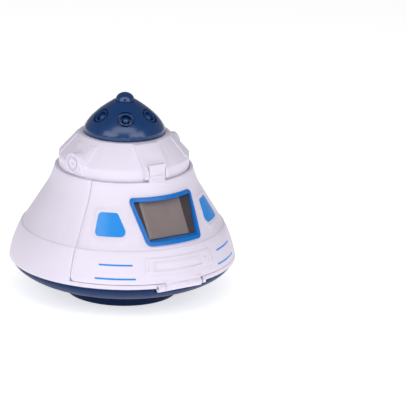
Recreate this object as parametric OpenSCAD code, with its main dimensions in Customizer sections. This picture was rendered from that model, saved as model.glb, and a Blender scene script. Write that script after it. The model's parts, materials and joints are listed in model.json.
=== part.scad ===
// Toy space capsule playset: a white conical hull with a drop-down hatch, a navy nose dome with a
// sound button, a navy heat shield and a round foot that holds the batteries and the speaker.
// The origin is the centre of the foot's underside, +Z is up and the hatch faces -Y.

/* [Hull] */
// Radius of the hull at its widest, along the lower rim
hull_r = 80.4; // [80:0.2:82]
// Thickness of the moulded walls
wall = 2.0; // [1.8:0.1:2.2]
// Height of the hull's lower edge above the table
hull_base_z = 26; // [26:0.1:26.4]
// Height of the step line between the skirt and the cone
step_z = 50.5; // [50:0.1:51]
// Height of the hull's upper edge
hull_top_z = 92; // [92:0.1:92.4]

/* [Hatch] */
// Half of the angle that the hatch covers round the hull
hatch_half_angle = 58.8; // [57:0.1:60]
// Gap between the hatch and the hull round it
hatch_gap = 0.5; // [0.4:0.05:0.6]
// Distance of the hinge axis in front of the capsule's centre
hinge_y = 77.6; // [77.4:0.1:77.8]
// Height of the hinge axis
hinge_z = 26; // [25.9:0.05:26.1]
// Radius of the hinge barrel
barrel_r = 2.9; // [2.7:0.1:3]
// Radius of the steel hinge pin
pin_r = 1.0; // [0.8:0.1:1.2]
// Radial clearance of the hinge pin in the barrel
pin_clearance = 0.06; // [0.03:0.01:0.1]

/* [Window] */
// Height of the window frame's lower edge
window_low_z = 53.5; // [53:0.1:54]
// Height of the window frame's upper edge
window_high_z = 82.8; // [82:0.1:83]
// Half of the window frame's width at its lower edge
window_low_half = 21.8; // [21:0.1:22.5]
// Half of the window frame's width at its upper edge
window_high_half = 25.4; // [25:0.1:26]
// Width of the window frame's border
window_border = 2.3; // [2:0.1:2.6]

/* [Collar and nose] */
// Radius of the collar's upright band
band_r = 45.9; // [45.6:0.1:46]
// Height of the collar's top face
collar_top_z = 115.8; // [115.6:0.1:116]
// Radius of the nose dome at its edge
dome_r = 28.4; // [28:0.1:28.8]
// Height of the top of the nose dome, under the button
dome_top_z = 138.6; // [138.4:0.1:138.8]
// Number of thruster nozzles round the nose dome
nozzles = 6; // [4:1:6]
// Radius of the nose button at its widest
button_r = 6.7; // [6.4:0.1:6.8]
// Travel of the nose button
button_travel = 2.0; // [1:0.1:2]

/* [Foot and heat shield] */
// Radius of the foot
foot_r = 40.3; // [39.8:0.1:41]
// Height of the foot
foot_h = 13.8; // [13.6:0.05:13.8]
// Radius of the heat shield's flat underside
shield_flat_r = 65; // [64:0.5:66]
// Radius of the speaker
speaker_r = 14; // [13:0.5:14]
// Travel of the power switch
switch_travel = 4; // [3:0.5:4]

/* [Hidden] */

$fn = 96;
eps = 0.01;

// Shared sizes
fit_gap = 0.3;
flange_t = 1.6;
hatch_t = 2.2;
seat_gap = 0.35;
screw_r = 1.4;
screw_head_r = 2.7;
pilot_r = 1.15;
round_steps = 6;
curve_steps = 8;

// Heights and radii that follow from the driving sizes
sill_top_z = hull_base_z + 2.7;
ledge_z = sill_top_z - 0.3;
hatch_low_z = sill_top_z + hatch_gap;
cone_low_r = 71.1;
cone_high_z = 78;
cone_high_r = 54;
hull_top_r = 48.6;
band_top_z = 100.8;
collar_edge_r = 32.2;
floor_z = sill_top_z + 0.05;
floor_t = 2;
deck_z = floor_z + floor_t;
shield_top_z = hull_base_z - 0.1;
shield_low_z = foot_h + 0.2;
shield_t = 2.2;
dome_low_z = collar_top_z - 0.2;

// Point on a quadratic curve from a to c, pulled towards b
function bend(a, b, c, t) = (1 - t) * (1 - t) * a + 2 * t * (1 - t) * b + t * t * c;

// Points along that curve, without its first point
function bend_points(a, b, c, n = curve_steps) = [for (i = [1:n]) bend(a, b, c, i / n)];

// Corners of a polygon rounded by arcs; each corner is [x, y, radius]
function arc_corner(p, q, s) = let (
        a = [p[0] - q[0], p[1] - q[1]] / norm([p[0] - q[0], p[1] - q[1]]),
        b = [s[0] - q[0], s[1] - q[1]] / norm([s[0] - q[0], s[1] - q[1]]),
        half = acos(a * b) / 2,
        back = q[2] / tan(half),
        centre = [q[0], q[1]] + (a + b) / norm(a + b) * q[2] / sin(half),
        from = [q[0], q[1]] + a * back - centre,
        turn = sign(a[0] * b[1] - a[1] * b[0]) * (180 - 2 * half))
    [for (i = [0:round_steps]) let (t = -turn * i / round_steps)
        centre + [from[0] * cos(t) - from[1] * sin(t), from[0] * sin(t) + from[1] * cos(t)]];
function rounded(corners) = let (n = len(corners))
    [for (i = [0:n - 1]) each arc_corner(corners[(i + n - 1) % n], corners[i], corners[(i + 1) % n])];

// Outer profile of the hull, [radius, height] from the rim up, moved inwards by d
function hull_profile(d) = concat(
    [[hull_r - d, hull_base_z]],
    bend_points([hull_r - d, hull_base_z], [78.6 - d, 38], [72 - d, step_z - 0.15]),
    [[cone_low_r - d, step_z + 0.15], [cone_high_r - d, cone_high_z]],
    bend_points([cone_high_r - d, cone_high_z], [51.2 - d, 83], [hull_top_r - d, hull_top_z], 4));

// Radius of the hull's cone at a height between the step and the top of the straight cone
function cone_r(z) = let (low_z = step_z + 0.3)
    cone_low_r + (cone_high_r - cone_low_r) * (z - low_z) / (cone_high_z - low_z);

function reversed(list) = [for (i = [len(list) - 1:-1:0]) list[i]];

// Section of a hull wall between two depths below the outer surface
module hull_section(outer_d, inner_d) {
    polygon(concat(hull_profile(outer_d), reversed(hull_profile(inner_d))));
}

// Turns a section through the angles from a to b, measured from -Y towards +X
module sweep(a, b) {
    rotate([0, 0, a - 90]) rotate_extrude(angle = b - a) children();
}

// Keeps what lies between two heights
module between(low, high) {
    intersection() {
        children();
        translate([-100, -100, low]) cube([200, 200, high - low]);
    }
}

// Places children on the direction that is a degrees round from the front, facing outwards along -Y
module around(a) {
    rotate([0, 0, a]) children();
}

// Prism whose outline is drawn in X and Z, from near to far in front of the origin
module front_prism(points, near, far) {
    translate([0, -near, 0]) rotate([90, 0, 0]) linear_extrude(height = far - near) polygon(points);
}

// Prism whose outline is drawn in Y and Z, reaching half to each side of the centre
module side_prism(points, half) {
    translate([-half, 0, 0]) rotate([90, 0, 90]) linear_extrude(height = 2 * half) polygon(points);
}

module tube(r_out, r_in, h) {
    difference() {
        cylinder(r = r_out, h = h);
        translate([0, 0, -1]) cylinder(r = r_in, h = h + 2);
    }
}

// Self-tapping screw pointing up, with its head's underside at z = 0
module screw_up(length) {
    head_h = 1.6;
    difference() {
        translate([0, 0, -head_h]) cylinder(r = screw_head_r, h = head_h);
        translate([-1.9, -0.35, -head_h - eps]) cube([3.8, 0.7, 0.9]);
        translate([-0.35, -1.9, -head_h - eps]) cube([0.7, 3.8, 0.9]);
    }
    cylinder(r = pilot_r, h = length);
    for (i = [1:floor(length / 1.2) - 1])
        translate([0, 0, i * 1.2]) rotate_extrude()
            polygon([[pilot_r - 0.1, -0.35], [screw_r, 0], [pilot_r - 0.1, 0.35]]);
}

module barrel(x_from, x_to, r) {
    translate([x_from, -hinge_y, hinge_z]) rotate([0, 90, 0]) cylinder(r = r, h = x_to - x_from);
}

// Four-sided block with rounded corners in plan, standing on z = 0
module rounded_block(size, r) {
    w = size[0] / 2;
    d = size[1] / 2;
    linear_extrude(height = size[2]) polygon(rounded([[w, d, r], [-w, d, r], [-w, -d, r], [w, -d, r]]));
}

// Thin-walled tube swept along points, drawn with straight pieces between its rings
module swept_wire(points, r, sides = 8) {
    n = len(points);
    rings = [for (i = [0:n - 1]) let (
            ahead = points[min(i + 1, n - 1)] - points[max(i - 1, 0)],
            d = ahead / norm(ahead),
            u = cross(d, abs(d[0]) < 0.9 ? [1, 0, 0] : [0, 1, 0]),
            v = cross(d, u) / norm(u))
        each [for (k = [0:sides - 1])
            points[i] + r * (cos(360 * k / sides) * u / norm(u) + sin(360 * k / sides) * v)]];
    walls = [for (i = [0:n - 2], k = [0:sides - 1]) let (m = (k + 1) % sides)
        [i * sides + k, i * sides + m, (i + 1) * sides + m, (i + 1) * sides + k]];
    ends = [reversed([for (k = [0:sides - 1]) k]), [for (k = [0:sides - 1]) (n - 1) * sides + k]];
    polyhedron(points = rings, faces = [for (f = concat(walls, ends)) reversed(f)], convexity = 6);
}

// Colours
white = [0.91, 0.89, 0.94];
navy = [0.09, 0.26, 0.52];
foot_navy = [0.06, 0.15, 0.32];
bright_blue = [0.12, 0.47, 0.87];
cabin_grey = [0.55, 0.54, 0.56];
steel = [0.75, 0.75, 0.77];

// Angles round the hull, measured from -Y towards +X
seam_angle = 0.4;
jamb_angle = hatch_half_angle + seam_angle;
stop_angle = jamb_angle - 4;
port_angles = [-81, 99, 180];
collar_screw_angles = [90, 180, 270];

// Hinge layout along X: the ear, the barrel and the right-hand boss
ear_from_x = -20;
ear_to_x = -14.8;
barrel_half = 14.4;
boss_from_x = 16.1;
boss_to_x = 18.4;
boss_r = 1.9;
notch_back_y = hinge_y - barrel_r - 0.8;
notch_top_z = 33;

// Latch tower on the collar and the hatch's tongue inside it
latch_x = -3.2;
vent_angle = 15.4;
vent_z = 41.6;
vent_r = 0.5;
tower_half = 9.3;
tower_low_z = 94.4;
pocket_half = 7;
tongue_half = 6.4;
tongue_top_z = 104.2;
pocket_top_z = 105.8;
tongue_back_y = band_r + 0.4;
tongue_front_y = tongue_back_y + 2;

// Shelf inside the hull that the collar stands on
shelf_top_z = 89;
shelf_t = 2;
shelf_in_r = 41.5;
shelf_front_r = band_r + 0.6;
flange_w = 8.4;
collar_low_z = shelf_top_z + 0.05;
collar_screw_r = 39.5;

// Screws that hold the heat shield to the cabin floor
shield_screw_r = 56;
shield_screw_angles = [45, 135, 225, 315];
shield_boss_top_z = 20;
shield_head_z = 16.4;
shield_screw_length = 10;

// Foot layout
foot_floor_t = 2.2;
bay_y = 9;
bay_w = 51;
bay_d = 23;
bay_wall = 1.6;
door_gap = 0.3;
door_w = 52.4;
door_d = 24.4;
door_screw_x = -31;
door_screw_z = 1.6;
speaker_y = -19;
switch_x = 26;
switch_y = -14;
foot_screw_spots = [[0, 33.5], [-22.5, -26], [22.5, -26]];
foot_screw_head_z = 7.6;
foot_screw_length = 12;

// Dome, button and switch stack
well_r = button_r + 0.35;
well_floor_z = 135.4;
bore_r = 4;
stem_r = 3.7;
bracket_low_z = 110;
bracket_plate_z = 120;
spring_low_z = 122;
spring_high_z = 129.8;

// Board and its posts
board_y = 26;
foot_boss_top_z = shield_low_z + 6;
board_z = foot_boss_top_z + 0.3;
board_t = 1.6;
board_screw_x = 18.5;

// Skin that follows the hull's outer surface, raised by out and sunk by in
module hull_skin(out, in, a, b, low, high) {
    between(low, high) sweep(a, b) hull_section(-out, in);
}

// Window outline in X and Z, grown outwards by g, with corners of radius r
function window_outline(g, r) = let (
        low_z = window_low_z + window_border - g,
        high_z = window_high_z - window_border + g,
        low_half = window_low_half - window_border + g,
        high_half = window_high_half - window_border + g)
    rounded([[low_half, low_z, r], [high_half, high_z, r], [-high_half, high_z, r], [-low_half, low_z, r]]);

// Side window outline in X and Z about its own centre line, grown by g; side is 1 or -1
function side_outline(g, r, side) = let (
        points = [[7.5 + g, 59 - g, r], [6.4 + g, 73.5 + g, r],
            [-6.9 - g, 73.5 + g, r], [-16 - 1.6 * g, 59 - g, r]])
    rounded([for (p = side > 0 ? points : reversed(points)) [side * p[0], p[1], p[2]]]);
side_window_angle = 43;

// Spaces the hinge turns in
module hinge_notch(x_from, x_to) {
    translate([x_from, -hinge_y - 10, hinge_z - barrel_r - 0.5])
        cube([x_to - x_from, 10 + hinge_y - notch_back_y, notch_top_z - hinge_z + barrel_r + 0.5]);
}

// Where the hull's outer curve passes the top of the rim, as a share of the skirt's curve
rim_share = 0.115;
rim_top_r = bend(hull_r, 78.6, 72, rim_share);

// Hull profile from the top of the rim up, moved inwards by d
function wall_profile(d) = let (p = hull_profile(d)) concat([[rim_top_r - d, ledge_z]],
    [for (i = [1:len(p) - 1]) p[i]]);

// Hull profile from inside the rim up to the shelf, moved inwards by d
function frame_profile(d) = let (p = hull_profile(d)) concat([[rim_top_r - d, ledge_z - 1]],
    [for (i = [1:len(p) - 2]) p[i]]);

// Rim and wall, turned as one shell, with the hatch opening cut out above the sill
module hull_shell() difference() {
    rotate_extrude() polygon(concat(hull_profile(0), reversed(wall_profile(wall)),
        [[hull_r - flange_w, ledge_z], [hull_r - flange_w, hull_base_z]]));
    sweep(-jamb_angle, jamb_angle)
        polygon([[shelf_in_r, sill_top_z], [hull_r + 10, sill_top_z], [hull_r + 10, hull_top_z + 10],
            [shelf_in_r, hull_top_z + 10]]);
}

// Frame round the hatch: a thick jamb with a step that the closed hatch rests against
module hatch_frame() {
    step_angle = jamb_angle - 0.15;
    difference() {
        sweep(-jamb_angle - 3, jamb_angle + 3)
            polygon(concat(frame_profile(0.6), reversed(frame_profile(hatch_t + seat_gap + flange_t))));
        sweep(-step_angle, step_angle) hull_section(-5, hatch_t + seat_gap);
        sweep(-stop_angle, stop_angle)
            polygon([[30, notch_top_z], [90, notch_top_z], [90, 100], [30, 100]]);
    }
}

// Shelf for the collar: a ring all round, and a web to the wall beside the hatch
module shelf() {
    translate([0, 0, shelf_top_z - shelf_t]) rotate_extrude() translate([shelf_in_r, 0])
        square([shelf_front_r - shelf_in_r, shelf_t]);
    sweep(jamb_angle + 1.5, 358.5 - jamb_angle) translate([band_r - 1, shelf_top_z - shelf_t + 0.2])
        square([4, shelf_t - 0.4]);
    sweep(jamb_angle + 2, 358 - jamb_angle) translate([band_r + 0.12, shelf_top_z - 0.5])
        square([1.6, hull_top_z - 0.3 - shelf_top_z + 0.5]);
    for (a = collar_screw_angles) around(a)
        translate([0, -collar_screw_r - 1, shelf_top_z - shelf_t + 0.1]) cylinder(r = 5, h = shelf_t - 0.1);
}

module lower_hull() color(white) difference() {
    union() {
        difference() {
            union() {
                hull_shell();
                hatch_frame();
                shelf();
            }
            hinge_notch(ear_from_x - 0.2, boss_from_x);
        }
        barrel(ear_from_x, ear_to_x, barrel_r);
        translate([ear_from_x, -hinge_y, hull_base_z])
            cube([ear_to_x - ear_from_x, hinge_y - notch_back_y + 3, ledge_z - 0.2 - hull_base_z]);
        barrel(boss_from_x, boss_to_x, boss_r);
    }
    barrel(ear_from_x - 1, boss_to_x - 0.8, pin_r);
    for (a = collar_screw_angles) around(a)
        translate([0, -collar_screw_r, shelf_top_z - shelf_t - 1]) cylinder(r = 1.6, h = shelf_t + 2);
}

// Profile of the collar between its lower edge and its top face, moved inwards by d
function collar_profile(d) = [[band_r - d, collar_low_z], [band_r - d, band_top_z - 0.8],
    [band_r - 0.7 - d, band_top_z + 0.3], [collar_edge_r - d, collar_top_z]];

module latch_tower() {
    translate([latch_x, 0, 0]) difference() {
        side_prism([[-band_r + 2, tower_low_z], [-band_r - 2.6, tower_low_z],
            [-band_r - 2.6, 99.8], [-band_r - 2, 101], [-collar_edge_r - 2.2, collar_top_z],
            [-collar_edge_r + 4, collar_top_z], [-band_r + 2, 101]], tower_half);
        translate([-pocket_half, -band_r - 8, 90]) cube([2 * pocket_half, 8, pocket_top_z - 90]);
    }
}

// Flat-faced housing with a round port, on the collar's side
module port_housing() {
    difference() {
        union() {
            intersection() {
                side_prism([[-band_r + 3, 93], [-band_r - 0.4, 93], [-band_r - 0.4, 100.6],
                    [-collar_edge_r - 3, 112.6], [-collar_edge_r + 2, 112.6], [-band_r + 6, 100]], 10.5);
                rotate_extrude()
                    polygon(concat(collar_profile(-0.6), [[0, collar_top_z], [0, collar_low_z]]));
            }
            translate([0, -34, 101]) rotate([90, 0, 0]) cylinder(r = 7, h = band_r - 34 + 1.4);
        }
        translate([0, -band_r - 0.2, 101]) rotate([90, 0, 0]) tube(5.7, 3.6, 3);
        translate([0, -band_r - 0.6, 101]) rotate([90, 0, 0]) cylinder(r = 1.6, h = 3);
    }
}

module upper_collar() color(white) difference() {
    union() {
        rotate_extrude() polygon(concat(collar_profile(0), reversed(collar_profile(wall))));
        translate([0, 0, collar_top_z - 3]) rotate_extrude() translate([22, 0]) square([8.5, 3]);
        rotate_extrude()
            polygon([[30, collar_top_z - 3], [34, collar_top_z - 3],
                [collar_edge_r, collar_top_z], [30, collar_top_z]]);
        latch_tower();
        for (a = port_angles) around(a) port_housing();
        for (a = [42, 222]) sweep(a, a + 24)
            polygon([[45.8, 101.4], [33.6, 114.9], [31, 114.9], [43, 101.4]]);
        for (a = collar_screw_angles) around(a)
            translate([0, -collar_screw_r, collar_low_z]) difference() {
                cylinder(r = 5.4, h = 10);
                translate([0, 0, -1]) cylinder(r = pilot_r, h = 10);
            }
    }
    translate([0, 0, collar_top_z - 1]) cylinder(r = dome_r + 0.15, h = 3);
    for (a = collar_screw_angles) around(a)
        translate([0, -collar_screw_r, collar_low_z - 1]) cylinder(r = pilot_r, h = 9);
}

module collar_screws() color(steel) for (a = collar_screw_angles) around(a)
    translate([0, -collar_screw_r, shelf_top_z - shelf_t]) screw_up(8);

// Profile of the dome from its edge to the well round the button, moved inwards by d
function dome_profile(d) = concat([[dome_r - d, dome_low_z - 0.7], [dome_r + 0.1 - d, 119.3]],
    bend_points([dome_r + 0.1 - d, 119.3], [24.6 - d, 128.4 - d / 2],
        [well_r + 1.4 - d / 2, dome_top_z - d], 9));

// Centre line of one nozzle: out of the dome and 45 degrees up
module at_nozzles() {
    for (i = [0:nozzles - 1]) around(30 + i * 360 / nozzles)
        translate([0, -19.2, 129.6]) rotate([45, 0, 0]) children();
}

module nose_dome() color(navy) {
    difference() {
        union() {
            rotate_extrude() polygon(concat(dome_profile(0), [[0, dome_top_z], [0, dome_top_z - 4]],
                [for (p = reversed(dome_profile(wall))) p]));
            translate([0, 0, 131.8]) cylinder(r = 10, h = 5);
            intersection() {
                at_nozzles() translate([0, 0, -5.5]) cylinder(r = 7.4, h = 7);
                rotate_extrude() polygon(concat([[0, 110]], [[dome_r - 1, 110]], dome_profile(0.2),
                    [[0, dome_top_z - 0.5]]));
            }
            translate([0, 0, 111]) tube(21.8, 20, 5);
            translate([0, 0, dome_low_z - 0.7]) tube(dome_r - 1, 20, 1.5);
        }
        at_nozzles() translate([0, 0, -1.7]) cylinder(r = 6.3, h = 8);
        at_nozzles() translate([0, 0, -4.2]) cylinder(r = 3.9, h = 8);
        translate([0, 0, well_floor_z]) cylinder(r = well_r, h = 8);
        translate([0, 0, 130]) cylinder(r = bore_r, h = 12);
    }
    at_nozzles() translate([0, 0, -4.3]) tube(4.9, 3.9, 4.7);
    at_nozzles() translate([0, 0, -2.6]) sphere(r = 2.8);
}

module nose_button() color(navy) {
    translate([0, 0, well_floor_z + button_travel + 0.4]) rotate_extrude() polygon(concat(
        [[0, 0], [button_r - 0.5, 0], [button_r, 0.5], [button_r, 1.6]],
        bend_points([button_r, 1.6], [5.6, 6.2], [0, 6.7], 9)));
    translate([0, 0, spring_high_z]) cylinder(r = stem_r, h = 9);
    translate([0, 0, spring_high_z]) cylinder(r = 5.2, h = 1.7);
}

// Coil spring about Z with closed, straight-drawn rings
module coil(low, high, r_low, r_high, turns, wire) {
    steps = turns * 14;
    swept_wire([for (i = [0:steps])
        let (t = i / steps, r = r_low + (r_high - r_low) * t, turn = 360 * turns * t)
            [r * cos(turn), r * sin(turn), low + wire + (high - low - 2 * wire) * t]], wire, 6);
}

module button_spring() color(steel) coil(spring_low_z, spring_high_z, 4.5, 4.5, 5, 0.3);

module push_switch() color([0.15, 0.15, 0.16]) {
    translate([-3, -3, spring_low_z]) cube([6, 6, 3.6]);
    translate([0, 0, spring_low_z]) cylinder(r = 1.7, h = 5.5);
}

module switch_bracket() color(cabin_grey) {
    difference() {
        union() {
            translate([0, 0, bracket_low_z]) cylinder(r = 20, h = 2);
            translate([0, 0, bracket_low_z]) cylinder(r = 12, h = bracket_plate_z - bracket_low_z + 2);
        }
        translate([0, 0, bracket_low_z + 2]) cylinder(r = 10, h = bracket_plate_z - bracket_low_z - 2);
        translate([0, 0, bracket_low_z - 1]) cylinder(r = 2.6, h = 4);
        for (x = [-15.5, 15.5]) translate([x, 0, bracket_low_z - 1]) cylinder(r = 2.2, h = 4);
        for (x = [-8, 8]) translate([x, 0, bracket_plate_z - 1]) cylinder(r = 1.2, h = 4);
    }
}

module cabin_light() color([0.95, 0.95, 0.98]) {
    translate([0, 0, bracket_low_z - 3.4]) cylinder(r = 2.5, h = 5.4);
    translate([0, 0, bracket_low_z - 3.4]) sphere(r = 2.5);
    translate([0, 0, bracket_low_z + 2]) cylinder(r = 2.9, h = 1);
}

// Part of the hatch's lower corner that is trimmed to a round one
module hatch_corner(side) {
    r = 3.4;
    around(side * hatch_half_angle) translate([-side * (r + 0.05), 0, hatch_low_z + r]) difference() {
        translate([side > 0 ? 0 : -2 * r, -90, -2 * r]) cube([2 * r, 40, 2 * r]);
        rotate([90, 0, 0]) cylinder(r = r, h = 100);
    }
}

// Raised border and its sunk middle where a name would be; it is left blank
module name_plate() {
    difference() {
        hull_skin(0.65, 0.4, -20.5, 20.5, 35.2, 45.8);
        hull_skin(2, -0.05, -16, 13.2, 37.4, 44);
        for (a = [-19.4, 18.2]) hull_skin(2, -0.2, a, a + 1.2, 38, 43.6);
    }
    hull_skin(0.4, 0.4, -14.8, 12, 38.5, 42.9);
}

module hatch() color(white) difference() {
    union() {
        difference() {
            union() {
                between(hatch_low_z, 100)
                    sweep(-hatch_half_angle, hatch_half_angle) hull_section(0, hatch_t);
                name_plate();
                for (side = [-1, 1]) intersection() {
                    hull_skin(0.2, 0.4, -hatch_half_angle + 1, hatch_half_angle - 1, 52, 80);
                    around(side * side_window_angle) front_prism(side_outline(2.3, 4.4, side), 45, 90);
                }
            }
            for (side = [-1, 1]) hatch_corner(side);
            for (side = [-1, 1]) difference() {
                around(side * side_window_angle) front_prism(side_outline(1.3, 3.6, side), 45, 90);
                hull_skin(-0.05, 8, -hatch_half_angle, hatch_half_angle, 52, 80);
            }
        }
        translate([-barrel_half + 0.3, -hinge_y - 1.4, hinge_z])
            cube([2 * barrel_half - 0.6, 2, hatch_low_z - hinge_z + 1.6]);
        barrel(-barrel_half, barrel_half, barrel_r);
        translate([latch_x - tongue_half, -tongue_front_y, 89])
            cube([2 * tongue_half, 2, tongue_top_z - 89]);
        translate([latch_x - tongue_half + 1.4, -tongue_front_y - 0.9, 95])
            cube([2 * tongue_half - 2.8, 2, 1.6]);
    }
    front_prism(window_outline(1.6, 2), 40, 90);
    barrel(-30, 30, pin_r + pin_clearance);
    around(vent_angle) translate([0, -40, vent_z]) rotate([90, 0, 0]) cylinder(r = vent_r, h = 60);
}

// Half-space in front of a plane that lies parallel to the cone's front line, depth behind it
function pane_line(depth) = [[-cone_r(48) + depth, 48], [-cone_r(88) + depth, 88]];

pane_depth = 5;
module window_frame() color(bright_blue) intersection() {
    side_prism(concat(pane_line(pane_depth), [[-95, 88], [-95, 48]]), 40);
    difference() {
        union() {
            intersection() {
                hull_skin(1.5, 0, -40, 40, 50, 86);
                front_prism(window_outline(window_border, 3), 40, 90);
            }
            intersection() {
                sweep(-40, 40) hull_section(-0.6, 12);
                front_prism(window_outline(1.5, 2), 40, 90);
            }
        }
        front_prism(window_outline(0, 0.8), 39, 91);
    }
}

module window_pane() color([0.42, 0.39, 0.40, 0.6]) intersection() {
    side_prism(concat(pane_line(pane_depth + 0.02), reversed(pane_line(pane_depth + 1.6))), 30);
    front_prism(window_outline(1.5, 2), 40, 90);
}

module side_window_labels() color(bright_blue) for (side = [-1, 1]) intersection() {
    hull_skin(0.12, 0.05, -hatch_half_angle, hatch_half_angle, 52, 80);
    around(side * side_window_angle) front_prism(side_outline(0, 2.8, side), 45, 90);
}

module stripe_labels() color(bright_blue) for (side = [-1, 1]) {
    hull_skin(0.12, 0, side > 0 ? 27 : -44.5, side > 0 ? 44.5 : -27, 41.5, 42.5);
    hull_skin(0.12, 0, side > 0 ? 25.5 : -46, side > 0 ? 46 : -25.5, 32.5, 33.6);
}

module hinge_pin() color(steel) barrel(ear_from_x + 0.2, boss_to_x - 1, pin_r);

module cabin_floor() color(cabin_grey) {
    difference() {
        union() {
            translate([0, 0, floor_z]) cylinder(r = 73, h = floor_t);
            translate([0, 0, floor_z]) sweep(72, 288) translate([70, 0]) square([6, floor_t]);
            for (a = shield_screw_angles) around(a)
                translate([0, -shield_screw_r, shield_boss_top_z + 0.05])
                    cylinder(r = 4.6, h = floor_z - shield_boss_top_z);
            for (i = [0:5]) rotate([0, 0, 60 * i]) translate([20, -0.6, floor_z - 2.5]) cube([45, 1.2, 3]);
        }
        for (a = shield_screw_angles) around(a) translate([0, -shield_screw_r, shield_boss_top_z - 1])
            cylinder(r = pilot_r, h = 8);
        translate([0, 40, floor_z - 3]) cylinder(r = 4, h = 8);
        translate([-40, -74, floor_z - 1]) cube([80, 4, 5]);
    }
    for (x = [-40, -30], y = [-45, -30, -15]) translate([x, y, deck_z - 0.1]) cylinder(r = 1.2, h = 0.7);
    for (x = [30, 40]) translate([x, -45, deck_z - 0.1]) cylinder(r = 1.2, h = 0.7);
}

bulkhead_y = 30;
bulkhead_t = 1.8;
module rear_bulkhead() color(cabin_grey) {
    half = [for (z = [deck_z, 50, cone_high_z, 85.5])
        sqrt(pow((z < 51 ? 76.5 - 0.32 * (z - 30) : z > cone_high_z ? 46.8 : cone_r(z) - wall - 0.6), 2)
            - pow(bulkhead_y + bulkhead_t, 2)) - 0.8];
    difference() {
        translate([0, bulkhead_y + bulkhead_t, 0]) rotate([90, 0, 0]) linear_extrude(height = bulkhead_t)
            polygon([[half[0], deck_z], [half[1], 50], [half[2], cone_high_z], [half[3], 85.5],
                [-half[3], 85.5], [-half[2], cone_high_z], [-half[1], 50], [-half[0], deck_z]]);
        translate([-9, bulkhead_y - 1, 80]) cube([18, 4, 8]);
    }
    for (side = [-1, 1]) {
        for (i = [0:2]) translate([side * (24 + 9 * i) - 3.5, bulkhead_y - 1.2, 58]) cube([7, 1.3, 5]);
        for (i = [0:2]) translate([side * (24 + 9 * i), bulkhead_y + 0.1, 50]) rotate([90, 0, 0])
            cylinder(r = 2.6, h = 1.3);
        translate([side * 33 - 13, bulkhead_y - 1.2, 36]) cube([26, 1.3, 8]);
    }
}

module seat() color([0.36, 0.37, 0.40]) {
    translate([0, 3, deck_z]) rounded_block([30, 34, 14], 3);
    translate([0, 2, deck_z + 13.9]) rounded_block([34, 38, 4], 4);
    for (side = [-1, 1]) translate([side * 15.4 - 1.6, -14, deck_z + 17]) cube([3.2, 34, 4]);
    side_prism([[16, 47], [21.5, 47], [27.5, 82], [24, 84], [20.5, 82]], 15);
    side_prism([[19.4, 74], [21.5, 74], [22, 82.5], [20.6, 83.5], [18.4, 82]], 9);
}

module control_console() color([0.30, 0.31, 0.35]) {
    difference() {
        translate([28, 0, 0]) rotate([90, 0, 90]) linear_extrude(height = 18)
            polygon([[-32, deck_z], [22, deck_z], [22, 56], [14, 57], [-32, 44]]);
        translate([30, -28, 0]) rotate([15.2, 0, 0]) translate([0, 0, 51.2]) cube([14, 36, 6]);
    }
    for (i = [0:4], j = [0:1])
        translate([33.5 + 7 * j, -20 + 7 * i, 44.2 + 1.95 * i])
            rotate([15.2, 0, 0]) cylinder(r = 1.8, h = 3.2);
}

function shield_profile(d) = concat([[79.2 - d, shield_top_z], [79 - d, shield_top_z - 1.4]],
    bend_points([79 - d, shield_top_z - 1.4], [75.6 - d, 18.2 + d / 2],
        [shield_flat_r - d / 2, shield_low_z + d]));

module heat_shield() color(navy) difference() {
    union() {
        rotate_extrude()
            polygon(concat(shield_profile(0), [[0, shield_low_z], [0, shield_low_z + shield_t]],
                reversed(shield_profile(shield_t))));
        rotate_extrude() polygon([[72, shield_top_z], [78.4, shield_top_z], [78, shield_top_z - 2],
            [74.5, shield_top_z - 2.5]]);
        for (a = shield_screw_angles) around(a) translate([0, -shield_screw_r, shield_low_z])
            cylinder(r = 5, h = shield_boss_top_z - shield_low_z);
        for (p = foot_screw_spots) translate([p[0], p[1], shield_low_z])
            cylinder(r = 3.4, h = foot_boss_top_z - shield_low_z);
        for (x = [-board_screw_x, board_screw_x]) translate([x, board_y, shield_low_z])
            cylinder(r = 3, h = board_z - shield_low_z);
    }
    for (a = shield_screw_angles) around(a) {
        translate([0, -shield_screw_r, 0]) cylinder(r = screw_head_r + 0.4, h = shield_head_z);
        translate([0, -shield_screw_r, 0]) cylinder(r = 1.6, h = 30);
    }
    for (p = foot_screw_spots) translate([p[0], p[1], 0]) cylinder(r = pilot_r, h = 19);
    for (x = [-board_screw_x, board_screw_x]) translate([x, board_y, shield_low_z + 0.8])
        cylinder(r = pilot_r, h = 9);
    cylinder(r = 5, h = 20);
    hinge_notch(-21.2, 21.2);
}

module shield_screws() color(steel) for (a = shield_screw_angles) around(a)
    translate([0, -shield_screw_r, shield_head_z]) screw_up(shield_screw_length);

module circuit_board() color([0.12, 0.42, 0.22]) difference() {
    translate([-22, board_y - 15, board_z]) cube([44, 30, board_t]);
    for (x = [-board_screw_x, board_screw_x]) translate([x, board_y, 0]) cylinder(r = 1.6, h = 40);
    for (i = [0:5]) translate([-10 + 4 * i, board_y - 12, 0]) cylinder(r = 0.6, h = 40, $fn = 24);
}

module chip_cover() color([0.06, 0.06, 0.07]) intersection() {
    translate([0, board_y + 2, board_z + board_t - 10.4]) sphere(r = 12);
    translate([-20, 0, board_z + board_t]) cube([40, 60, 5]);
}

module board_screws() color(steel) for (x = [-board_screw_x, board_screw_x])
    translate([x, board_y, board_z + board_t]) mirror([0, 0, 1]) screw_up(5);

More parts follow.
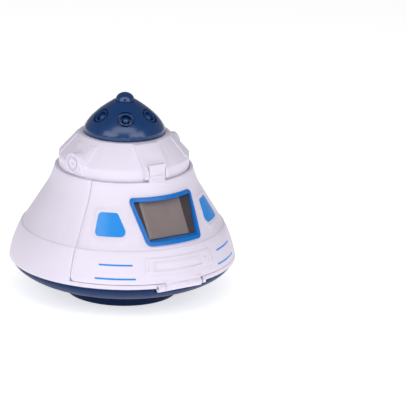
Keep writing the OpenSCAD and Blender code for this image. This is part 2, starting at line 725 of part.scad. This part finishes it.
module foot_housing() color(foot_navy) difference() {
    union() {
        rotate_extrude() polygon([[0, 0], [foot_r - 0.7, 0], [foot_r, 0.7], [foot_r, foot_h],
            [foot_r - wall, foot_h], [foot_r - wall, foot_floor_t], [0, foot_floor_t]]);
        translate([0, bay_y, foot_floor_t - 0.1])
            rounded_block([bay_w + 2 * bay_wall, bay_d + 2 * bay_wall, foot_h - foot_floor_t + 0.1], 1.5);
        for (p = foot_screw_spots) translate([p[0], p[1], foot_floor_t - 0.1])
            cylinder(r = 3.9, h = foot_h - foot_floor_t);
        translate([door_screw_x, bay_y, foot_floor_t - 0.1]) cylinder(r = 3.4, h = 8);
        translate([0, speaker_y, foot_floor_t - 0.1]) tube(speaker_r + 1.3, speaker_r + 0.2, 4);
        translate([switch_x, switch_y, foot_floor_t - 0.1]) rounded_block([14.6, 9, 3.4], 1);
    }
    translate([0, bay_y, -1]) rounded_block([bay_w, bay_d, 30], 0.8);
    translate([0, bay_y, -1])
        rounded_block([door_w + 2 * door_gap, door_d + 2 * door_gap, 1 + foot_floor_t], 1);
    translate([door_screw_x + 4.5, bay_y, -1]) rounded_block([14, 9 + 2 * door_gap, 1 + foot_floor_t], 1);
    translate([door_screw_x, bay_y, 0]) cylinder(r = pilot_r, h = 9);
    for (p = foot_screw_spots) translate([p[0], p[1], -1]) {
        cylinder(r = screw_head_r + 0.4, h = foot_screw_head_z + 1);
        cylinder(r = 1.6, h = 30);
    }
    translate([0, speaker_y, -1]) {
        cylinder(r = 1.1, h = 5);
        for (ring = [1:2], i = [0:6 * ring - 1]) rotate([0, 0, 60 / ring * i])
            translate([4.2 * ring, 0, 0]) cylinder(r = 1.1, h = 5);
    }
    translate([switch_x, switch_y, -1]) rounded_block([4.6 + switch_travel + 0.8, 5, 10], 0.6);
    translate([switch_x, switch_y, foot_floor_t + 0.6]) rounded_block([12.4, 6.8, 10], 0.4);
}

module foot_screws() color(steel) for (p = foot_screw_spots)
    translate([p[0], p[1], foot_screw_head_z]) screw_up(foot_screw_length);

module speaker() color([0.2, 0.2, 0.22]) translate([0, speaker_y, foot_floor_t + 0.05]) difference() {
    union() {
        cylinder(r = speaker_r, h = 1.4);
        translate([0, 0, 1.3]) cylinder(r = 12, h = 1.5);
        translate([0, 0, 2.7]) cylinder(r = 8, h = 3);
    }
    translate([0, 0, -1]) cylinder(r = 12.6, h = 1.6);
}

module speaker_ring() color(foot_navy)
    translate([0, speaker_y, foot_floor_t + 1.5]) tube(speaker_r, 12.3, 2.2);

module power_switch() color([0.2, 0.2, 0.2])
    translate([switch_x, switch_y, foot_floor_t + 0.7]) difference() {
        rounded_block([12, 6.4, 5], 0.4);
        translate([0, 0, -1]) rounded_block([5 + switch_travel, 4, 3.4], 0.3);
    }

module switch_slider() color([0.1, 0.1, 0.1])
    translate([switch_x - switch_travel / 2, switch_y, 0.4]) difference() {
        rounded_block([4.2, 3.4, 4.4], 0.4);
        for (x = [-1.2, 0, 1.2]) translate([x - 0.2, -3, -1]) cube([0.4, 6, 1.4]);
    }

module batteries() color([0.78, 0.66, 0.22]) for (side = [-1, 1])
    translate([side * 0.9, bay_y + side * 5.7, 8]) rotate([0, side * 90, 0]) {
        translate([0, 0, -22]) cylinder(r = 5.1, h = 43.2);
        translate([0, 0, 21]) cylinder(r = 1.9, h = 1.4);
    }

module battery_springs() color(steel) for (side = [-1, 1])
    translate([side * 0.9, bay_y + side * 5.7, 8]) rotate([0, side * 90, 0])
        coil(-25.8, -22.05, 3.4, 1.8, 3, 0.3);

module battery_plates() color(steel) for (side = [-1, 1]) {
    translate([side * 24.6 - 0.3, bay_y + side * 5.7 - 4, 3.6]) cube([0.6, 8, 9]);
    translate([-side * 25.2 - 0.2, bay_y + side * 5.7 - 4, 3.6]) cube([0.4, 8, 9]);
}

module battery_door() color(foot_navy) difference() {
    union() {
        translate([0, bay_y, 0.2]) rounded_block([door_w, door_d, foot_floor_t - 0.3], 1);
        translate([door_screw_x + 4.5, bay_y, 0.2]) rounded_block([13.4, 9, foot_floor_t - 0.3], 1);
    }
    translate([door_screw_x, bay_y, -1]) cylinder(r = 1.6, h = 5);
    translate([door_screw_x, bay_y, -1]) cylinder(r = screw_head_r + 0.2, h = door_screw_z + 1);
    for (i = [0:4]) translate([14 + 2 * i, bay_y - 6, -0.1]) cube([0.8, 12, 0.7]);
}

module door_screw() color(steel) translate([door_screw_x, bay_y, door_screw_z]) scale(0.85) screw_up(6);

// Centre line of the right-hand wire, from the push switch down to the board
wire_line = [[15.5, 0, 116], [15.5, 0, 108], [12, 14, 98], [6, 30, 92], [2.4, 37, 84], [2, 40, 70],
    [1.8, 40, 50], [1.6, 40, 34], [1.6, 40, 27], [1.6, 38, 23.6], [2, 34, board_z + board_t + 0.7]];
module wires() color([0.7, 0.12, 0.1]) for (side = [-1, 1])
    swept_wire([for (p = wire_line) [side * p[0], p[1], p[2]]], 0.7, 8);

lower_hull();
upper_collar();
nose_dome();
nose_button();
button_spring();
push_switch();
switch_bracket();
cabin_light();
hatch();
window_frame();
window_pane();
side_window_labels();
stripe_labels();
hinge_pin();
cabin_floor();
rear_bulkhead();
seat();
control_console();
heat_shield();
shield_screws();
circuit_board();
chip_cover();
board_screws();
foot_housing();
foot_screws();
speaker();
speaker_ring();
power_switch();
switch_slider();
batteries();
battery_springs();
battery_plates();
battery_door();
door_screw();
collar_screws();
wires();
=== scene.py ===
"""Toy space capsule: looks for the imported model. Lengths are in metres, in the model's own frame."""
import json
import math

import bmesh
import bpy
from mathutils import Matrix, Vector

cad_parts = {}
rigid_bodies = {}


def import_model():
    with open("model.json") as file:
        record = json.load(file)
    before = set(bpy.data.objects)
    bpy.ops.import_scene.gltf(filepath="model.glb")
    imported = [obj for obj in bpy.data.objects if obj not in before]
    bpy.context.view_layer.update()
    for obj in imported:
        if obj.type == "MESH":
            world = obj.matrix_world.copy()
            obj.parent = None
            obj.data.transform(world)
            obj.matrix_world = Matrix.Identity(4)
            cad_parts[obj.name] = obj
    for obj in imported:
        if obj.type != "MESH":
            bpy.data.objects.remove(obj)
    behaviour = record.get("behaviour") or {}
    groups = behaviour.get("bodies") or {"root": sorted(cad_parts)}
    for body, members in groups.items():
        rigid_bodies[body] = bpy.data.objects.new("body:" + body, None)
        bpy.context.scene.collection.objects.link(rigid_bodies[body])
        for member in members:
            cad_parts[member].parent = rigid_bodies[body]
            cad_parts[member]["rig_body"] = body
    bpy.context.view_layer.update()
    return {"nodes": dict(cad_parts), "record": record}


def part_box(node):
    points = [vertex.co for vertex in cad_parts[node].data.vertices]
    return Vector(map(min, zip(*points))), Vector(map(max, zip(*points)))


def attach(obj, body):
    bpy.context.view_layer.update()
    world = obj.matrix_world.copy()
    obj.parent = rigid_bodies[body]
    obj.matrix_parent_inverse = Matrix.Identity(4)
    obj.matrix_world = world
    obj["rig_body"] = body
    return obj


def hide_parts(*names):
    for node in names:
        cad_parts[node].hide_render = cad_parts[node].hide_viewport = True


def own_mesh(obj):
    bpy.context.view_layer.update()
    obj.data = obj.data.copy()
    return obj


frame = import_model()

# The camera: which way it looks, how far it stands off, and how far it is shifted from the origin
VIEW_AZIMUTH = math.radians(-34.3)
VIEW_DROP = math.radians(17.04)
VIEW_ROLL = 0.027
VIEW_DISTANCE = 1.7887
SHIFT_RIGHT = 0.0581
SHIFT_UP = 0.0605
LENS = 221.7
SENSOR = 36.0

MM = 0.001

# How bright the room is, and how much light comes up through the lit table
WALL_BRIGHTNESS = 0.3
CEILING_BRIGHTNESS = 0.2
FLOOR_GLOW = 0.64

# The two side lamps and the top lamp: what they aim at, their sizes, and their power in watts
LIGHT_AIM = (0, 0, 0.07)
SIDE_SIZE = (1.0, 0.8)
SIDE_POWER = 6.5
TOP_SIZE = (1.4, 0.45)
TOP_POWER = 5

# The floor's half width, and how far it lies under the foot so that the two faces don't coincide
FLOOR_HALF = 6.0
FLOOR_DROP = 0.05 * MM

# How far each moulded part's edges are rounded
SOFT_EDGES = {
    "lower_hull": 0.15 * MM,
    "upper_collar": 0.4 * MM,
    "nose_dome": 0.25 * MM,
    "hatch": 0.15 * MM,
    "window_frame": 0.4 * MM,
    "heat_shield": 0.4 * MM,
    "foot_housing": 0.3 * MM,
}

# Before its edges are rounded, a part's corners closer than this become one
WELD = 0.002 * MM

# Neighbouring faces that differ by less than this become one
FLAT_ANGLE = math.radians(1.0)

# Edges sharper than this are rounded
BEVEL_ANGLE = math.radians(28)

# Edges sharper than this stay crisp in the shading of rounded parts, and of the pane's facet
SHARP_ANGLE = math.radians(32)
FACET_SHARP_ANGLE = math.radians(30)

# The facet on the window pane, whose pale tone is painted light: its sides, its distance from the
# pane's ends, its corner radius
FACET_LEFT = -18.2 * MM
FACET_RIGHT = 14.6 * MM
FACET_MARGIN = 2.3 * MM
FACET_CORNER = 0.6 * MM

# How deep the window pane is in Y at one height
PANE_DEPTH = 1.58 * MM

# The facet's flank from the pane's face to its flat top, as pairs of how far in and how far out
FACET_FLANK = [(0, -0.2 * MM), (0.1 * MM, 0.35 * MM), (0.8 * MM, 0.8 * MM), (1.1 * MM, 0.85 * MM)]

# Nodes painted with a darker copy of their material: the heat shield's navy is darkened as painted
# shade under the hull's rim
SHADE_PAINTED_MATERIAL = {"heat_shield": "shield_navy_shaded"}


# ---------------------------------------------------------------- camera, floor and lights

def add_camera():
    """A long lens that looks at the model from its front left and a little above."""
    flat = Vector((-math.sin(VIEW_AZIMUTH), math.cos(VIEW_AZIMUTH), 0))
    forward = flat * math.cos(VIEW_DROP) - Vector((0, 0, math.sin(VIEW_DROP)))
    right = Vector((math.cos(VIEW_AZIMUTH), math.sin(VIEW_AZIMUTH), 0))
    up = right.cross(forward)
    rolled_right = right * math.cos(VIEW_ROLL) + up * math.sin(VIEW_ROLL)
    rolled_up = up * math.cos(VIEW_ROLL) - right * math.sin(VIEW_ROLL)
    data = bpy.data.cameras.new("camera")
    data.lens = LENS
    data.sensor_width = SENSOR
    camera = bpy.data.objects.new("camera", data)
    bpy.context.scene.collection.objects.link(camera)
    place = -forward * VIEW_DISTANCE + rolled_right * SHIFT_RIGHT + rolled_up * SHIFT_UP
    turn = Matrix((rolled_right, rolled_up, -forward)).transposed().to_4x4()
    camera.matrix_world = Matrix.Translation(place) @ turn
    bpy.context.scene.camera = camera


def add_area_light(name, place, size, power):
    """A rectangular lamp of the given size in metres and power in watts, aimed at the model."""
    data = bpy.data.lights.new(name, "AREA")
    data.shape = "RECTANGLE"
    data.size, data.size_y = size
    data.energy = power
    light = bpy.data.objects.new(name, data)
    bpy.context.scene.collection.objects.link(light)
    light.location = place
    light.rotation_euler = (Vector(LIGHT_AIM) - Vector(place)).to_track_quat("-Z", "Y").to_euler()


def add_stage():
    """A plain pale floor that glows a little, as a table lit from below does."""
    corners = [(-1, -1), (1, -1), (1, 1), (-1, 1)]
    mesh = bpy.data.meshes.new("floor")
    points = [(FLOOR_HALF * x, FLOOR_HALF * y, -FLOOR_DROP) for x, y in corners]
    mesh.from_pydata(points, [], [(0, 1, 2, 3)])
    floor = bpy.data.objects.new("floor", mesh)
    bpy.context.scene.collection.objects.link(floor)
    material = bpy.data.materials.new("floor")
    material.use_nodes = True
    shader = material.node_tree.nodes["Principled BSDF"]
    shader.inputs["Base Color"].default_value = (0.93, 0.93, 0.94, 1)
    shader.inputs["Roughness"].default_value = 0.9
    shader.inputs["Emission Color"].default_value = (1, 1, 1, 1)
    shader.inputs["Emission Strength"].default_value = FLOOR_GLOW
    mesh.materials.append(material)


def add_world():
    """A pale room with a darker ceiling."""
    world = bpy.data.worlds.new("studio")
    world.use_nodes = True
    tree = world.node_tree
    sky = tree.nodes["Background"]
    sky.inputs["Color"].default_value = (1.0, 0.985, 1.0, 1)
    height = tree.nodes.new("ShaderNodeSeparateXYZ")
    tree.links.new(tree.nodes.new("ShaderNodeTexCoord").outputs["Generated"], height.inputs["Vector"])
    fade = tree.nodes.new("ShaderNodeMapRange")
    fade.inputs["From Min"].default_value = 0.1
    fade.inputs["From Max"].default_value = 0.8
    fade.inputs["To Min"].default_value = WALL_BRIGHTNESS
    fade.inputs["To Max"].default_value = CEILING_BRIGHTNESS
    tree.links.new(height.outputs["Z"], fade.inputs["Value"])
    tree.links.new(fade.outputs["Result"], sky.inputs["Strength"])
    bpy.context.scene.world = world
    bpy.context.scene.view_settings.view_transform = "Standard"


def to_world(right, toward, up):
    """A place given by how far it is to the camera's right, towards the camera, and up."""
    side = Vector((math.cos(VIEW_AZIMUTH), math.sin(VIEW_AZIMUTH), 0))
    near = Vector((math.sin(VIEW_AZIMUTH), -math.cos(VIEW_AZIMUTH), 0))
    return side * right + near * toward + Vector((0, 0, up))


def add_lights():
    add_area_light("soft_left", to_world(-0.85, 0.95, 0.8), SIDE_SIZE, SIDE_POWER)
    add_area_light("soft_right", to_world(0.85, 0.95, 0.8), SIDE_SIZE, SIDE_POWER)
    add_area_light("soft_top", to_world(0.0, 0.75, 1.25), TOP_SIZE, TOP_POWER)


# ---------------------------------------------------------------- materials

class Paint:
    """A procedural material built round one Principled shader."""

    def __init__(self, name, color, rough, **sockets):
        self.material = bpy.data.materials.new(name)
        self.material.use_nodes = True
        self.tree = self.material.node_tree
        self.shader = self.tree.nodes["Principled BSDF"]
        self.color = color
        self.shader.inputs["Base Color"].default_value = (*color, 1)
        self.shader.inputs["Roughness"].default_value = rough
        for socket, value in sockets.items():
            self.shader.inputs[socket.replace("_", " ")].default_value = value
        self.place = self.node("ShaderNodeTexCoord").outputs["Object"]
        self.height = None

    def node(self, kind, **settings):
        made = self.tree.nodes.new(kind)
        for key, value in settings.items():
            setattr(made, key, value)
        return made

    def link(self, source, target):
        self.tree.links.new(source, target)

    def noise(self, scale, detail=3.0, rough=0.5, stretch=None):
        made = self.node("ShaderNodeTexNoise")
        made.inputs["Scale"].default_value = scale
        made.inputs["Detail"].default_value = detail
        made.inputs["Roughness"].default_value = rough
        source = self.place
        if stretch:
            mapping = self.node("ShaderNodeMapping")
            mapping.inputs["Scale"].default_value = stretch
            self.link(self.place, mapping.inputs["Vector"])
            source = mapping.outputs["Vector"]
        self.link(source, made.inputs["Vector"])
        return made.outputs["Fac"]

    def spread(self, value, from_low, from_high, to_low, to_high):
        made = self.node("ShaderNodeMapRange")
        made.inputs["From Min"].default_value = from_low
        made.inputs["From Max"].default_value = from_high
        made.inputs["To Min"].default_value = to_low
        made.inputs["To Max"].default_value = to_high
        self.link(value, made.inputs["Value"])
        return made.outputs["Result"]

    def vary_color(self, value, low, high):
        """Mixes between the colour times low and the colour times high."""
        mix = self.node("ShaderNodeMix", data_type="RGBA")
        mix.inputs["A"].default_value = (*[min(1, c * low) for c in self.color], 1)
        mix.inputs["B"].default_value = (*[min(1, c * high) for c in self.color], 1)
        self.link(value, mix.inputs["Factor"])
        self.link(mix.outputs["Result"], self.shader.inputs["Base Color"])

    def vary_rough(self, value, low, high):
        self.link(self.spread(value, 0.3, 0.7, low, high), self.shader.inputs["Roughness"])

    def bump(self, value, depth, strength=0.4):
        made = self.node("ShaderNodeBump")
        made.inputs["Strength"].default_value = strength
        made.inputs["Distance"].default_value = depth
        self.link(value, made.inputs["Height"])
        if self.height:
            self.link(self.height, made.inputs["Normal"])
        self.height = made.outputs["Normal"]
        self.link(self.height, self.shader.inputs["Normal"])


def moulded(name, color, rough, rough_spread=0.05, grain=2600, grain_depth=0.00002, **sockets):
    """Injection-moulded plastic: slight flow marks, a fine grain and faint handling marks."""
    paint = Paint(name, color, rough, **sockets)
    paint.vary_color(paint.noise(28, 4), 0.965, 1.03)
    paint.vary_rough(paint.noise(90, 5, 0.6), rough - rough_spread, rough + rough_spread)
    paint.bump(paint.noise(14, 2), 0.00012, 0.25)
    paint.bump(paint.noise(grain, 2), grain_depth, 0.35)
    return paint.material


def label(name, color):
    """Printed foil: flat colour with a fine dot screen in the ink and a clear gloss."""
    paint = Paint(name, color, 0.22, Coat_Weight=0.15, Coat_Roughness=0.08, Specular_IOR_Level=0.3)
    paint.vary_color(paint.noise(900, 2), 0.95, 1.05)
    paint.vary_rough(paint.noise(160, 4), 0.17, 0.28)
    paint.bump(paint.noise(700, 2), 0.00001, 0.3)
    return paint.material


def metal(name, color, rough, stretch=(1, 1, 30)):
    """Plated steel with drawing marks."""
    paint = Paint(name, color, rough, Metallic=1.0)
    marks = paint.noise(500, 4, 0.6, stretch)
    paint.vary_color(marks, 0.85, 1.08)
    paint.vary_rough(marks, rough - 0.1, rough + 0.12)
    paint.bump(marks, 0.00002, 0.3)
    return paint.material


def smoked(name, color, clearness):
    """Smoke-tinted styrene, cloudy and a little scuffed."""
    paint = Paint(name, color, 0.14, Transmission_Weight=clearness, IOR=1.5)
    paint.vary_color(paint.noise(60, 3, 0.5, (1, 1, 0.4)), 0.80, 1.14)
    paint.vary_rough(paint.noise(130, 4), 0.08, 0.22)
    paint.bump(paint.noise(20, 2), 0.0001, 0.2)
    return paint.material


def make_materials():
    return {
        "hull_white": moulded("hull_white", (0.745, 0.695, 0.815), 0.42, Specular_IOR_Level=0.3),
        "navy_gloss": moulded("navy_gloss", (0.002, 0.034, 0.135), 0.24, 0.04, Coat_Weight=0.25,
                              Coat_Roughness=0.14),
        # The heat shield's navy: navy_gloss darkened as painted shade, since the dish lies under the
        # hull's rim
        "shield_navy_shaded": moulded("shield_navy_shaded", (0.003, 0.022, 0.092), 0.42, Specular_IOR_Level=0.1),
        # The foot's navy: partly the foot's own darker colour, partly painted shade, since the foot
        # sits in the dish's shadow
        "foot_navy": moulded("foot_navy", (0.001, 0.014, 0.066), 0.36, Specular_IOR_Level=0.12),
        "bright_blue": moulded("bright_blue", (0.004, 0.155, 0.54), 0.32,
                               Specular_IOR_Level=0.3),
        "blue_label": label("blue_label", (0.014, 0.26, 0.74)),
        "smoke_clear": smoked("smoke_clear", (0.085, 0.068, 0.075), 0.3),
        # A paler smoke whose tone is painted light, standing in for the light that shows through the
        # pane's middle
        "smoke_pale": smoked("smoke_pale", (0.27, 0.22, 0.215), 0.15),
        "cabin_plastic": moulded("cabin_plastic", (0.42, 0.40, 0.42), 0.5, grain_depth=0.00004),
        "seat_plastic": moulded("seat_plastic", (0.16, 0.17, 0.20), 0.55, grain_depth=0.00005),
        "console_plastic": moulded("console_plastic", (0.10, 0.105, 0.13), 0.5, grain_depth=0.00005),
        "steel": metal("steel", (0.62, 0.62, 0.64), 0.28),
        "switch_black": moulded("switch_black", (0.025, 0.025, 0.028), 0.45),
        "light_clear": moulded("light_clear", (0.85, 0.86, 0.9), 0.08, 0.03, Transmission_Weight=0.6),
        "board_green": moulded("board_green", (0.02, 0.17, 0.06), 0.35, grain=1500),
        "epoxy_black": moulded("epoxy_black", (0.012, 0.012, 0.014), 0.15),
        "speaker_black": moulded("speaker_black", (0.04, 0.04, 0.045), 0.6, grain=1800,
                                 grain_depth=0.00006),
        "battery_jacket": label("battery_jacket", (0.55, 0.36, 0.05)),
        "wire_red": moulded("wire_red", (0.5, 0.02, 0.015), 0.4),
    }


def paint_nodes(materials):
    for part in frame["record"]["subparts"]:
        mesh = frame["nodes"][part["node"]].data
        mesh.materials.clear()
        mesh.materials.append(materials[SHADE_PAINTED_MATERIAL.get(part["node"], part["material_slot"])])


# ---------------------------------------------------------------- moulded pieces

def softened(node, width):
    """A stand-in for a CAD node, with its sharp edges rounded as a mould leaves them."""
    source = frame["nodes"][node]
    work = bmesh.new()
    work.from_mesh(source.data)
    bmesh.ops.remove_doubles(work, verts=work.verts, dist=WELD)
    bmesh.ops.dissolve_limit(work, angle_limit=FLAT_ANGLE, verts=work.verts, edges=work.edges)
    mesh = bpy.data.meshes.new(node + "_moulded")
    work.to_mesh(mesh)
    work.free()
    piece = bpy.data.objects.new(node + "_moulded", mesh)
    bpy.context.scene.collection.objects.link(piece)
    bevel = piece.modifiers.new("bevel", "BEVEL")
    bevel.width = width
    bevel.segments = 2
    bevel.limit_method = "ANGLE"
    bevel.angle_limit = BEVEL_ANGLE
    bevel.use_clamp_overlap = True
    bevel.miter_outer = "MITER_ARC"
    graph = bpy.context.evaluated_depsgraph_get()
    finished = bpy.data.meshes.new_from_object(piece.evaluated_get(graph))
    piece.modifiers.clear()
    piece.data = finished
    finished.shade_smooth()
    finished.set_sharp_from_angle(angle=SHARP_ANGLE)
    finished.materials.clear()
    for material in source.data.materials:
        finished.materials.append(material)
    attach(piece, source["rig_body"])
    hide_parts(node)
    return piece


def compressed(node):
    """A copy of a spring that stands in for its CAD node and rides with the same body."""
    source = frame["nodes"][node]
    piece = bpy.data.objects.new(node + "_coils", source.data.copy())
    bpy.context.scene.collection.objects.link(piece)
    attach(piece, source["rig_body"])
    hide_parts(node)
    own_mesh(piece)


def loft(name, rings):
    """A closed mesh of quads between rings that each hold the same number of points."""
    work = bmesh.new()
    made = [[work.verts.new(point) for point in ring] for ring in rings]
    count = len(rings[0])
    for lower, upper in zip(made, made[1:]):
        for i in range(count):
            j = (i + 1) % count
            work.faces.new((lower[i], lower[j], upper[j], upper[i]))
    work.faces.new(reversed(made[0]))
    work.faces.new(made[-1])
    bmesh.ops.recalc_face_normals(work, faces=work.faces)
    mesh = bpy.data.meshes.new(name)
    work.to_mesh(mesh)
    work.free()
    piece = bpy.data.objects.new(name, mesh)
    bpy.context.scene.collection.objects.link(piece)
    return piece


def rounded_rectangle(left, right, low, high, radius, steps=5):
    """Points round a rectangle with rounded corners, as (x, z) pairs."""
    corners = ((right - radius, high - radius, 0), (left + radius, high - radius, 90),
               (left + radius, low + radius, 180), (right - radius, low + radius, 270))
    return [(x + radius * math.cos(math.radians(start + 90 * i / steps)),
             z + radius * math.sin(math.radians(start + 90 * i / steps)))
            for x, z, start in corners for i in range(steps + 1)]


def pane_facet(material):
    """The raised middle of the window pane, in a pale smoke whose tone is painted light; its sloping
    flanks rise from the pane's face.
    """
    low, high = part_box("window_pane")
    front = Vector((0, low[1], low[2]))
    rise = Vector((0, high[1] - low[1] - PANE_DEPTH, high[2] - low[2]))
    up = rise.normalized()
    out = Vector((1, 0, 0)).cross(up)
    height = rise.length

    def ring(shrink, lift):
        points = rounded_rectangle(FACET_LEFT + shrink, FACET_RIGHT - shrink,
                                   FACET_MARGIN + shrink, height - FACET_MARGIN - shrink,
                                   FACET_CORNER)
        return [front + Vector((x, 0, 0)) + up * along + out * lift for x, along in points]

    piece = loft("pane_facet", [ring(shrink, lift) for shrink, lift in FACET_FLANK])
    piece.data.shade_smooth()
    piece.data.set_sharp_from_angle(angle=FACET_SHARP_ANGLE)
    piece.data.materials.append(material)
    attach(piece, "hatch")


add_camera()
add_stage()
add_world()
add_lights()
materials = make_materials()
paint_nodes(materials)
for node, width in SOFT_EDGES.items():
    softened(node, width)
pane_facet(materials["smoke_pale"])
compressed("button_spring")
